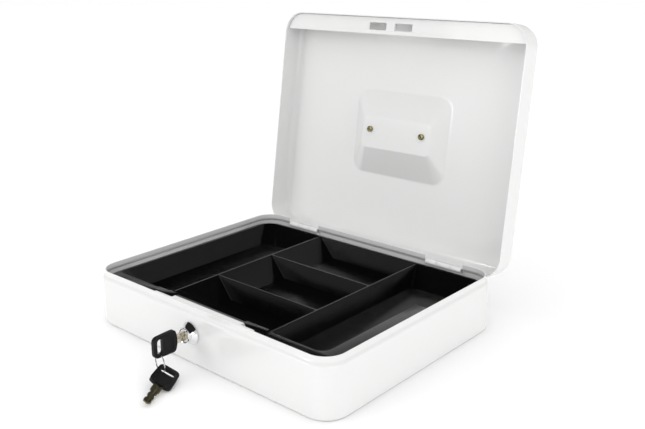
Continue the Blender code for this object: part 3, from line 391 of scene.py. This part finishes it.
def ramp(nodes, links, source, low, high):
    """Map a 0 to 1 value to a range."""
    spread = nodes.new("ShaderNodeMapRange")
    spread.inputs["From Min"].default_value = 0.3
    spread.inputs["From Max"].default_value = 0.7
    spread.inputs["To Min"].default_value = low
    spread.inputs["To Max"].default_value = high
    links.new(source, spread.inputs["Value"])
    return spread.outputs["Result"]


def tint(nodes, links, source, dark, light):
    """Colour that drifts between two tones."""
    mix = nodes.new("ShaderNodeMix")
    mix.data_type = "RGBA"
    mix.inputs["A"].default_value = (*dark, 1)
    mix.inputs["B"].default_value = (*light, 1)
    links.new(source, mix.inputs["Factor"])
    return mix.outputs["Result"]


def add_bump(nodes, links, shader, height, strength, distance):
    """Relief from a height texture."""
    bump = nodes.new("ShaderNodeBump")
    bump.inputs["Strength"].default_value = strength
    bump.inputs["Distance"].default_value = distance
    links.new(height, bump.inputs["Height"])
    links.new(bump.outputs["Normal"], shader.inputs["Normal"])


def powder_coat():
    """White semi-gloss powder coat: fine orange peel under a hard clear skin."""
    material, nodes, links, shader = new_material("white_powder_coat")
    drift = noise(nodes, links, 5, 1)
    colour = tint(nodes, links, drift, (0.796, 0.796, 0.790), (0.800, 0.800, 0.795))
    links.new(colour, shader.inputs["Base Color"])
    links.new(ramp(nodes, links, noise(nodes, links, 240, 2), 0.280, 0.284), shader.inputs["Roughness"])
    peel = noise(nodes, links, 300, 1)
    add_bump(nodes, links, shader, peel, 0.05, 0.00006)
    shader.inputs["Coat Weight"].default_value = 0.8
    shader.inputs["Coat Roughness"].default_value = 0.05
    return material


def tray_plastic():
    """Black moulded plastic with a fine matt grain and faint sink marks."""
    material, nodes, links, shader = new_material("black_tray_plastic")
    drift = noise(nodes, links, 22, 3)
    colour = tint(nodes, links, drift, (0.0020, 0.0020, 0.0021), (0.0028, 0.0028, 0.0030))
    links.new(colour, shader.inputs["Base Color"])
    links.new(ramp(nodes, links, noise(nodes, links, 140, 3), 0.13, 0.19), shader.inputs["Roughness"])
    ripple = noise(nodes, links, 45, 1)
    add_bump(nodes, links, shader, ripple, 0.05, 0.0004)
    shader.inputs["Specular IOR Level"].default_value = 0.20
    return material


def grip_plastic():
    """Black key grip with a spark-eroded texture."""
    material, nodes, links, shader = new_material("black_grip_plastic")
    drift = noise(nodes, links, 160, 3)
    colour = tint(nodes, links, drift, (0.006, 0.006, 0.007), (0.011, 0.011, 0.012))
    links.new(colour, shader.inputs["Base Color"])
    links.new(ramp(nodes, links, noise(nodes, links, 900, 3), 0.30, 0.46), shader.inputs["Roughness"])
    add_bump(nodes, links, shader, noise(nodes, links, 4200, 3), 0.35, 0.00005)
    shader.inputs["Specular IOR Level"].default_value = 0.14
    return material


def metal(name, dark, light, rough, smoother, scale=400, stretch=None, strength=0.06):
    """Bare or plated metal with a fine finish that varies over the surface."""
    material, nodes, links, shader = new_material(name)
    finish = noise(nodes, links, scale, 4, 0.6, stretch)
    links.new(tint(nodes, links, finish, dark, light), shader.inputs["Base Color"])
    wear = noise(nodes, links, scale * 0.6, 3, 0.5, stretch)
    links.new(ramp(nodes, links, wear, smoother, rough), shader.inputs["Roughness"])
    shader.inputs["Metallic"].default_value = 1.0
    add_bump(nodes, links, shader, finish, strength, 0.00005)
    return material


PAINT = powder_coat()
TRAY_PLASTIC = tray_plastic()
GRIP_PLASTIC = grip_plastic()
CHROME = metal("chrome_plate", (0.80, 0.80, 0.82), (0.90, 0.90, 0.91), 0.07, 0.03, 500, None, 0.02)
PLUG_METAL = metal("satin_plug", (0.58, 0.56, 0.53), (0.74, 0.72, 0.69), 0.30, 0.18, 900)
STEEL = metal("zinc_steel", (0.52, 0.52, 0.53), (0.66, 0.66, 0.67), 0.40, 0.24, 700)
KEY_METAL = metal("nickel_silver", (0.60, 0.54, 0.43), (0.78, 0.72, 0.60), 0.34, 0.22, 500, (1, 8, 8))
OLD_KEY_METAL = metal("olive_brass", (0.15, 0.135, 0.085), (0.30, 0.27, 0.17), 0.42, 0.26, 500, (1, 8, 8))
RING_METAL = metal("ring_wire", (0.55, 0.55, 0.55), (0.78, 0.78, 0.78), 0.24, 0.14, 800)
BRASS = metal("stamped_brass", (0.66, 0.48, 0.22), (0.80, 0.62, 0.33), 0.36, 0.24, 700)
SCREW_METAL = metal("dull_brassed", (0.13, 0.115, 0.05), (0.34, 0.31, 0.17), 0.30, 0.20, 900)


def finish(obj, material, body, slot_name, *nodes):
    """Paint a piece, let it ride on its body and stand for its CAD nodes."""
    obj.data.materials.clear()
    obj.data.materials.append(material)
    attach(obj, body)
    if nodes:
        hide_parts(*nodes)
    return obj


def open_out(obj):
    """Swing a piece that was drawn on the closed lid to where the lid stands."""
    bpy.context.view_layer.update()
    obj.matrix_world = OPEN_LID @ obj.matrix_world
    return obj


# Box and lid


def build_body():
    """Folded box with a joggled lip, seen inside and out."""
    profile = list(reversed(quarter_fold(FLOOR_FOLD, FLOOR_FOLD, 0, 5)))
    profile += bend(
        [
            (0, FLOOR_FOLD + 0.001),
            (0, SHOULDER),
            (JOGGLE, SHOULDER + JOGGLE),
            (JOGGLE, BODY_HEIGHT),
        ],
        0.0012,
    )
    rings = []
    for inset, height in profile:
        rings.append((rounded(HALF_WIDTH - inset, HALF_DEPTH - inset, BOX_CORNER - inset), height))
    body = steel(loft("body_panels", rings, close_end=False))
    cut(body, lock_bore(BARREL_RADIUS + GAP))
    for side in (-1, 1):
        middle = side * HINGE_SPREAD
        notch = box(
            "notch",
            (middle - NOTCH_REACH, HINGE.y - 0.006, NOTCH_FLOOR),
            (middle + NOTCH_REACH, HINGE.y + 0.006, BODY_HEIGHT + 0.002),
        )
        cut(body, notch)
    bevel(body, SHEET_EASE, 3)
    finish(smooth(body), PAINT, "box", "white_paint", "body_shell")


def lock_bore(radius):
    """Round bar along Y through the front wall at the lock."""
    shape = bmesh.new()
    bmesh.ops.create_cone(
        shape,
        cap_ends=True,
        segments=64,
        radius1=radius,
        radius2=radius,
        depth=0.012,
        matrix=Matrix.Translation((LOCK.x, FRONT_Y, LOCK.z)) @ Matrix.Rotation(math.pi / 2, 4, "X"),
    )
    return from_bmesh("lock_bore", shape)


def build_lid():
    """Pressed lid with the handle recess sunk in its panel."""
    floor = LID_TOP - RECESS_DEPTH
    rings = [(rounded(HALF_WIDTH, HALF_DEPTH, BOX_CORNER), LID_RIM)]
    for inset, height in quarter_fold(LID_FOLD, LID_TOP - LID_FOLD, LID_TOP, 10):
        rings.append((rounded(HALF_WIDTH - inset, HALF_DEPTH - inset, BOX_CORNER - inset), height))
    slope_x = (RECESS_MOUTH[0] - RECESS_FLOOR[0]) / RECESS_DEPTH
    slope_y = (RECESS_MOUTH[1] - RECESS_FLOOR[1]) / RECESS_DEPTH
    for step in range(RECESS_STEPS + 1):
        share = step / RECESS_STEPS
        grow = RECESS_FOLD * (1 - share) ** 2
        drop = RECESS_ROUND * share ** 2
        half_x = RECESS_MOUTH[0] + grow - slope_x * drop * 0.5
        half_y = RECESS_MOUTH[1] + grow - slope_y * drop * 0.5
        outline = rounded(half_x, half_y, RECESS_MOUTH_CORNER + grow * 0.3, RECESS_CENTRE)
        rings.append((outline, LID_TOP - drop))
    for step in range(RECESS_STEPS + 1):
        share = step / RECESS_STEPS
        rise = RECESS_ROUND * (1 - share) ** 2
        grow = RECESS_FOLD * (1 - share)
        half_x = RECESS_FLOOR[0] + grow
        half_y = RECESS_FLOOR[1] + grow
        outline = rounded(half_x, half_y, RECESS_FLOOR_CORNER + grow * 0.4, RECESS_CENTRE)
        rings.append((outline, floor + rise))
    lid = steel(loft("lid_panels", rings, close_start=False))
    bevel(lid, SHEET_EASE, 3)
    finish(open_out(smooth(lid, 24)), PAINT, "lid", "white_paint", "lid_shell")


def build_strike_flange():
    """Folded strip along the lid's front with its two slots and a rounded fold."""
    half_x = HALF_WIDTH - SHEET - GAP
    edge_y = FRONT_Y + SHEET + GAP
    radius = BOX_CORNER - SHEET - GAP
    inner_y = FRONT_Y + FLANGE_REACH
    outline = arc_points((-half_x + radius, edge_y + radius), radius, math.pi * 1.04, math.pi * 1.5, 20)
    outline += arc_points((half_x - radius, edge_y + radius), radius, math.pi * 1.5, math.pi * 1.96, 20)
    outline = [point for point in outline if point[1] < inner_y - 0.0006]
    outline = [(outline[0][0], inner_y)] + outline + [(outline[-1][0], inner_y)]
    half_slot = (SLOT_SIZE[0] / 2, SLOT_SIZE[1] / 2)
    slots = [rounded(*half_slot, SLOT_CORNER, (x, SLOT_Y), steps=6) for x in SLOT_CENTRES]
    flange = plate("strike_plate", [outline] + slots, SHEET)
    flange.data.transform(Matrix.Translation((0, 0, FLANGE_Z)))
    leg_low = (-FLANGE_LEG_HALF, edge_y, FLANGE_Z + 0.0002)
    leg_high = (FLANGE_LEG_HALF, edge_y + SHEET, FLANGE_Z + FLANGE_LEG)
    leg = box("leg", leg_low, leg_high)
    cut(flange, leg, "UNION")
    bevel(flange, FLANGE_EASE, 2)
    finish(open_out(smooth(flange)), PAINT, "lid", "white_paint", "strike_flange")


# Lock


def build_lock():
    """Chromed bell with a rolled front ring, and its threaded barrel."""
    bore = PLUG_RADIUS + GAP
    front = BELL_HEIGHT
    profile = [(bore, front - 0.0010), (bore + 0.0003, front - 0.0003), (bore + 0.0009, front)]
    profile += [(BELL_FRONT - 0.0006, front), (BELL_FRONT - 0.0001, front - 0.0004)]
    profile += [(BELL_FRONT, front - 0.0011), (BELL_FRONT - 0.0001, front - 0.0017)]
    for step in range(FLARE_STEPS + 1):
        share = step / FLARE_STEPS
        radius = BELL_FRONT + (BELL_RADIUS - BELL_FRONT) * share ** 1.7
        profile.append((radius, (front - 0.0019) * (1 - share) + 0.0012 * share))
    profile += [(BELL_RADIUS, 0.0007), (BELL_RADIUS - 0.0004, GAP), (BARREL_RADIUS, GAP)]
    pitch = (BARREL_LENGTH - 0.0012) / THREADS
    for turn in range(THREADS):
        top = -0.0010 - turn * pitch
        profile += [(BARREL_RADIUS, top), (BARREL_RADIUS - THREAD_DEPTH, top - pitch / 2)]
    profile += [(BARREL_RADIUS, -BARREL_LENGTH + 0.0003), (BARREL_RADIUS - 0.0003, -BARREL_LENGTH)]
    profile += [(bore, -BARREL_LENGTH)]
    barrel = turned("lock_bell", profile, (LOCK.x, FRONT_Y, LOCK.z))
    finish(smooth(barrel, 40), CHROME, "box", "chrome_plate", "lock_barrel")


# Keys


def key_place():
    """Matrix that stands the lock key on edge in the keyway."""
    slot_y = JOINTS["key_slide"]["pos_m"][1]
    return Matrix(((0, 0, 1, LOCK.x), (1, 0, 0, slot_y), (0, 1, 0, LOCK.z), (0, 0, 0, 1)))


def spare_place():
    """Matrix that lays the spare key in front of the box."""
    turn = Matrix.Rotation(SPARE_TURN[2], 4, "Z")
    turn = turn @ Matrix.Rotation(SPARE_TURN[1], 4, "Y") @ Matrix.Rotation(SPARE_TURN[0], 4, "X")
    return Matrix.Translation(SPARE_SLOT) @ turn


def head_outline(inset=0.0, steps=8):
    """Grip outline: round far corners, straight sides, and a bulged edge towards the blade."""
    far = -KEY_FAR + inset
    half = KEY_HALF_WIDTH - inset
    corner = HEAD_CORNER
    front = KEY_FRONT - inset
    outline = arc_points((far + corner, half - corner - 0.0006), corner, math.pi, math.pi / 2, steps)
    outline += [(0.006, half - 0.0002), (0.0128, half)]
    outline += [(0.0150, half - 0.0003), (HEAD_SHOULDER, half - 0.0012)]
    bulge = 14
    for step in range(1, bulge):
        share = 1 - 2 * step / bulge
        reach = (front - HEAD_SHOULDER) * (1 - share ** 2) ** 0.8
        outline.append((HEAD_SHOULDER + reach, (half - 0.0014) * share))
    outline += [(HEAD_SHOULDER, -half + 0.0012), (0.0150, -half + 0.0003)]
    outline += [(0.0128, -half), (0.006, -half + 0.0002)]
    outline += arc_points((far + corner, -half + corner + 0.0006), corner, 1.5 * math.pi, math.pi, steps)
    return outline


def build_key_head(name, place, body, node):
    """Moulded grip: softened edges, a dished panel on each face and a slot for the ring."""
    slot = rounded(KEY_SLOT[0] / 2, KEY_SLOT[1] / 2, KEY_SLOT[0] / 2 - 0.0002, steps=8)
    head = plate(name, [head_outline(), slot], KEY_THICKNESS)
    head.data.transform(Matrix.Translation((0, 0, -KEY_THICKNESS / 2)))
    for side in (-1, 1):
        dish = plate("dish", [rounded(*KEY_DISH, 0.002, KEY_DISH_CENTRE, 6)], 0.001)
        height = side * (KEY_THICKNESS / 2 + 0.0002)
        dish.data.transform(Matrix.Translation((0, 0, height - 0.0005)))
        cut(head, dish)
    pocket = box(
        "pocket",
        (KEY_TANG - GAP, -KEY_BLADE_HALF - GAP, -KEY_BLADE_THICKNESS / 2 - GAP),
        (KEY_FRONT + 0.004, KEY_BLADE_HALF + GAP, KEY_BLADE_THICKNESS / 2 + GAP),
    )
    cut(head, pocket)
    bevel(head, 0.0005, 3, 50)
    head.matrix_world = place
    finish(smooth(head, 40), GRIP_PLASTIC, body, "black_grip", node)


def bitted_edge(side, bits):
    """One long edge of the blade, from the tang to the tip, with its notches."""
    wide = side * KEY_BLADE_HALF
    thin = side * KEY_BIT_HALF
    edge = [(KEY_TANG, wide), (KEY_SHOULDER, wide), (KEY_SHOULDER, thin)]
    for at, depth, length in bits:
        first = KEY_SHOULDER + at
        last = first + length
        bottom = thin - side * depth
        edge += [(first, thin), (first + NOTCH_RAMP, bottom), (last - NOTCH_RAMP, bottom), (last, thin)]
    edge += [(KEY_TIP - KEY_TIP_BEVEL, thin), (KEY_TIP, thin * 0.35)]
    return edge


def blade_outline():
    """Blade with bit notches on both edges."""
    return bitted_edge(1, UPPER_BITS) + list(reversed(bitted_edge(-1, LOWER_BITS)))


def build_key_blade(name, place, material, slot_name, body, node):
    """Flat blade with a milled groove along each face."""
    blade = plate(name, [blade_outline()], KEY_BLADE_THICKNESS)
    blade.data.transform(Matrix.Translation((0, 0, -KEY_BLADE_THICKNESS / 2)))
    for side, offset in ((1, 0.0011), (-1, -0.0011)):
        middle = side * KEY_BLADE_THICKNESS / 2
        groove = box(
            "groove",
            (KEY_FRONT - 0.002, offset - 0.0007, middle - 0.0005),
            (KEY_TIP + 0.002, offset + 0.0007, middle + 0.0005),
        )
        cut(blade, groove)
    bevel(blade, 0.00016, 2, 50)
    blade.matrix_world = place
    finish(smooth(blade, 40), material, body, slot_name, node)


def build_ring():
    """Split ring: two coils of round wire side by side, with a crossover."""
    low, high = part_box("key_ring")
    centre = (low + high) / 2
    path = []
    for step in range(RING_TURNS * RING_STEPS - 2):
        angle = math.pi * 0.35 + 2 * math.pi * step / RING_STEPS
        share = step / (RING_TURNS * RING_STEPS)
        offset = (smooth_step((share - 0.42) / 0.16) - 0.5) * 2 * RING_WIRE
        path.append((RING_RADIUS * math.cos(angle), offset, RING_RADIUS * math.sin(angle)))
    ring = wire("split_ring", path, RING_WIRE, detail=4)
    ring.matrix_world = Matrix.Translation(centre) @ Matrix.Rotation(RING_TURN, 4, "Z")
    finish(smooth(ring, 60), RING_METAL, "ring", "ring_wire", "key_ring")


def smooth_step(value):
    """Ease from 0 to 1 with level ends."""
    value = min(max(value, 0), 1)
    return value * value * (3 - 2 * value)


# Pieces that keep their CAD shape, with eased edges


def ease_cad_node(name, material, width, segments=2, angle=35):
    """Round the edges of a CAD node and give it its material."""
    node = NODES[name]
    for face in node.data.polygons:
        face.use_smooth = True
    node.data.materials.clear()
    node.data.materials.append(material)
    modifier(node, "WELD", merge_threshold=0.00001)
    if width:
        bevel(node, width, segments, angle)
    modifier(node, "EDGE_SPLIT", split_angle=math.radians(38), use_edge_sharp=False)


def build_small_parts():
    """Hinges, ledges, handle, lock innards and tray."""
    for side in ("left", "right"):
        ease_cad_node("hinge_body_leaf_" + side, PAINT, 0.0002)
        ease_cad_node("hinge_lid_leaf_" + side, PAINT, 0.0002)
        ease_cad_node("hinge_pin_" + side, STEEL, 0.0001)
        ease_cad_node("tray_ledge_" + side, PAINT, 0.0002)
        ease_cad_node("handle_post_" + side, STEEL, 0.0003)
        ease_cad_node("handle_screw_" + side, SCREW_METAL, 0.0002)
    ease_cad_node("lock_cover", PAINT, 0.0002)
    ease_cad_node("lock_nut", STEEL, 0.0002)
    ease_cad_node("lock_plug", PLUG_METAL, 0.00012)
    ease_cad_node("lock_cam", STEEL, 0.0002)
    ease_cad_node("cam_washer", STEEL, 0.0001)
    ease_cad_node("cam_screw", STEEL, 0.0001)
    ease_cad_node("carry_handle", CHROME, 0)
    ease_cad_node("coin_tray", TRAY_PLASTIC, 0.0004)
    for number in range(1, 5):
        ease_cad_node("wafer_%d" % number, BRASS, 0.00005)


# Surroundings

CAMERA_AZIMUTH = math.radians(42.513)
CAMERA_ELEVATION = math.radians(14.712)
CAMERA_ROLL = math.radians(-0.747)
CAMERA_DISTANCE = 0.805676
CAMERA_TARGET = Vector((-0.008298, 0.034655, 0.138464))
CAMERA_LENS = 47.009
CAMERA_SHIFT = (0.02056, -0.06327)
FLOOR_SIZE = 40
WALL_LIGHT = 0.66
CEILING_LIGHT = 0.02
CEILING = (0.36, 0.50)


def build_camera():
    """Camera at the angle and distance of the photograph."""
    back = Vector(
        (
            math.sin(CAMERA_AZIMUTH) * math.cos(CAMERA_ELEVATION),
            -math.cos(CAMERA_AZIMUTH) * math.cos(CAMERA_ELEVATION),
            math.sin(CAMERA_ELEVATION),
        )
    )
    level = (-back).cross(Vector((0, 0, 1))).normalized()
    above = level.cross(-back)
    right = level * math.cos(CAMERA_ROLL) + above * math.sin(CAMERA_ROLL)
    up = above * math.cos(CAMERA_ROLL) - level * math.sin(CAMERA_ROLL)
    data = bpy.data.cameras.new("camera")
    data.sensor_width = 36
    data.lens = CAMERA_LENS
    data.shift_x, data.shift_y = CAMERA_SHIFT
    camera = bpy.data.objects.new("camera", data)
    bpy.context.scene.collection.objects.link(camera)
    matrix = Matrix((right, up, back)).transposed().to_4x4()
    matrix.translation = CAMERA_TARGET + back * CAMERA_DISTANCE
    camera.matrix_world = matrix
    bpy.context.scene.camera = camera


def build_floor():
    """Pale floor that runs past the view."""
    shape = bmesh.new()
    bmesh.ops.create_grid(shape, x_segments=1, y_segments=1, size=FLOOR_SIZE)
    floor = from_bmesh("floor", shape)
    floor.location = (0, 0, -0.0004)
    material, _, _, shader = new_material("pale_floor")
    shader.inputs["Base Color"].default_value = (0.97, 0.97, 0.97, 1)
    shader.inputs["Roughness"].default_value = 0.9
    shader.inputs["Specular IOR Level"].default_value = 0.1
    floor.data.materials.append(material)


def add_softbox(name, location, target, size, radiance, glossy=True):
    """Rectangular soft light with a given brightness."""
    data = bpy.data.lights.new(name, "AREA")
    data.shape = "RECTANGLE"
    data.size = size[0]
    data.size_y = size[1]
    data.energy = radiance * math.pi * size[0] * size[1]
    light = bpy.data.objects.new(name, data)
    bpy.context.scene.collection.objects.link(light)
    light.location = location
    light.rotation_euler = (Vector(target) - Vector(location)).to_track_quat("-Z", "Y").to_euler()
    light.visible_glossy = glossy


def build_world():
    """White studio wall all round under a dark ceiling."""
    world = bpy.data.worlds.new("studio")
    bpy.context.scene.world = world
    world.use_nodes = True
    nodes = world.node_tree.nodes
    links = world.node_tree.links
    where = nodes.new("ShaderNodeTexCoord")
    split = nodes.new("ShaderNodeSeparateXYZ")
    links.new(where.outputs["Generated"], split.inputs["Vector"])
    ceiling = nodes.new("ShaderNodeMapRange")
    ceiling.interpolation_type = "SMOOTHSTEP"
    ceiling.inputs["From Min"].default_value = CEILING[0]
    ceiling.inputs["From Max"].default_value = CEILING[1]
    ceiling.inputs["To Min"].default_value = WALL_LIGHT
    ceiling.inputs["To Max"].default_value = CEILING_LIGHT
    links.new(split.outputs["Z"], ceiling.inputs["Value"])
    background = nodes["Background"]
    background.inputs["Color"].default_value = (1, 1, 1, 1)
    links.new(ceiling.outputs["Result"], background.inputs["Strength"])


def build_light():
    """White surroundings, a large overhead panel and three softboxes."""
    build_world()
    add_softbox("overhead", (0, 0, 9), (0, 0, 0), (FLOOR_SIZE, FLOOR_SIZE), 1.08, glossy=False)
    add_softbox("right_softbox", (2.2, -0.9, 0.75), (0, 0, 0.15), (1.0, 0.9), 2.6)
    add_softbox("lid_softbox", (-0.508, -1.06, 0.345), (0.115, 0.17, 0.2), (0.15, 0.21), 7.5)
    add_softbox("front_softbox", (-0.9, -2.3, 1.1), (0, 0, 0.1), (1.2, 0.9), 1.4)
    bpy.context.scene.view_settings.view_transform = "Standard"
    bpy.context.scene.view_settings.look = "None"


build_body()
build_lid()
build_strike_flange()
build_lock()
build_key_head("lock_key_grip", key_place(), "key", "key_head")
build_key_head("spare_key_grip", spare_place(), "spare_key", "spare_key_head")
build_key_blade("lock_key_blade", key_place(), KEY_METAL, "key_metal", "key", "key_blade")
build_key_blade(
    "spare_blade", spare_place(), OLD_KEY_METAL, "aged_key_metal", "spare_key", "spare_key_blade"
)
build_ring()
build_small_parts()
build_camera()
build_floor()
build_light()
